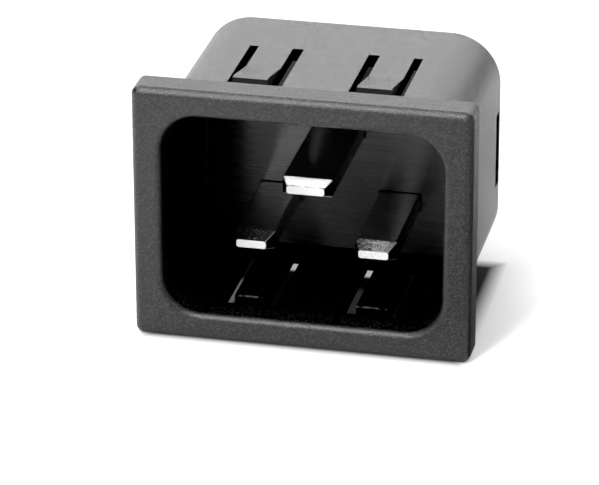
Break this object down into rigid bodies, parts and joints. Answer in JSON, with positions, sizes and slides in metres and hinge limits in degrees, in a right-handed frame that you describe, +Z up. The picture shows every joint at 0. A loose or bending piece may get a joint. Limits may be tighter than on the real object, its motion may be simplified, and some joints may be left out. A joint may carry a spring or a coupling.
{
  "type": "panel power inlet",
  "caption": "Snap-in panel power inlet: black moulded housing with a bezel flange and a deep recess round flat plated blade contacts, with push-on tabs behind.",
  "frame": {"origin": "centre of the panel cut-out, on the flange's rear face that seats on the panel", "axes": "-Y out of the recess towards the user, +Y into the equipment, +Z up towards the earth contact, +X right as seen from the front"},
  "size_m": [0.0356, 0.0355, 0.0278],
  "materials": {
    "housing_plastic": "black thermoplastic, spark-eroded fine grain on the flange, smooth inside the recess",
    "cover_plastic": "black thermoplastic, satin",
    "plated_brass": "bright nickel plate over brass"
  },
  "bodies": {
    "root": {"housing": "housing_plastic", "rear_cover": "cover_plastic", "line_contact": "plated_brass", "neutral_contact": "plated_brass", "earth_contact": "plated_brass"}
  },
  "joints": []
}
